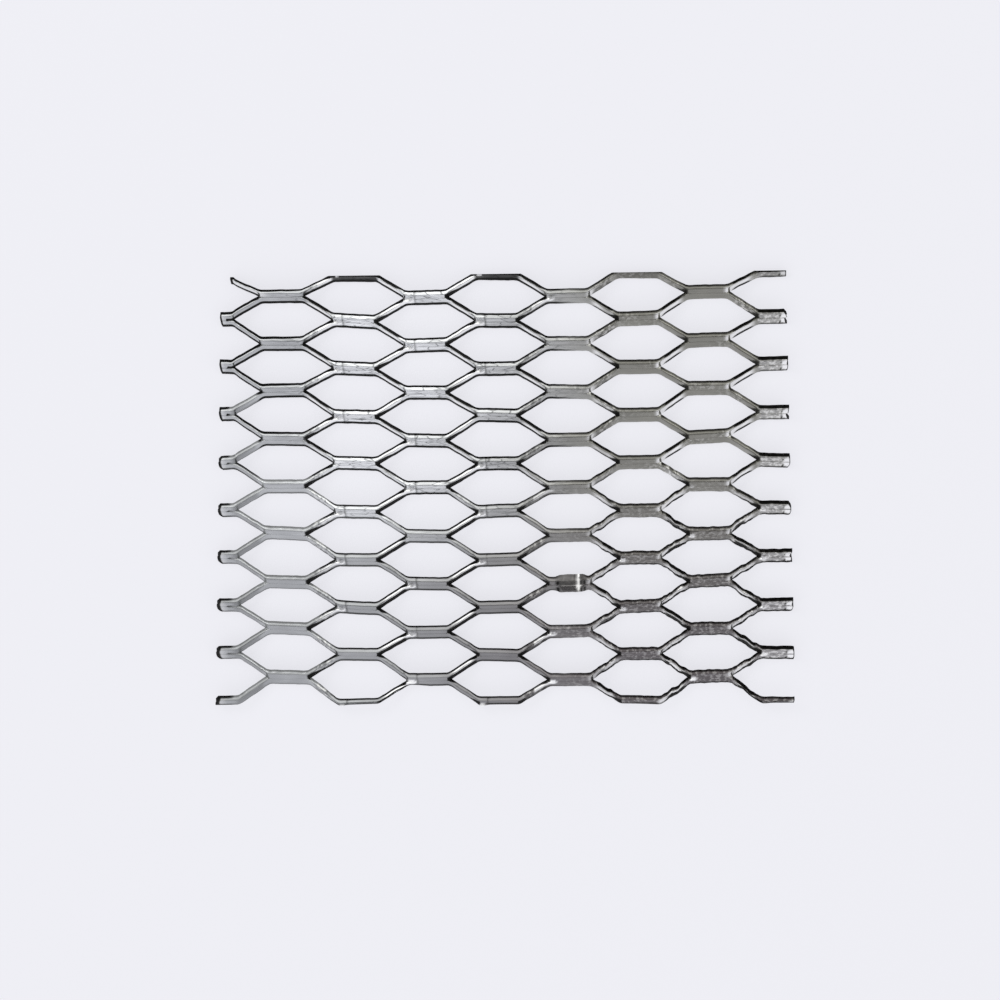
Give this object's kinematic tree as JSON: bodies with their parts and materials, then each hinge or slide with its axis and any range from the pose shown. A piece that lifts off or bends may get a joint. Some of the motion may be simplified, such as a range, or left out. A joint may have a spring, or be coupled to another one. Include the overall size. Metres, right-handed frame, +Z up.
{
  "type": "expanded metal sheet",
  "caption": "Flat panel of raised expanded steel: staggered long hexagonal openings between leaning strands joined at flat bonds, sheared off square at two sides.",
  "frame": {"origin": "centre of the sheet's outline, on the floor that it lies on", "axes": "+X along the long way of the mesh, +Y along the short way, +Z up through the sheet"},
  "size_m": [0.1232, 0.092, 0.0047],
  "materials": {
    "steel": "bright mill finish with sheared strand edges"
  },
  "bodies": {
    "root": {"expanded_sheet": "steel"}
  },
  "joints": []
}
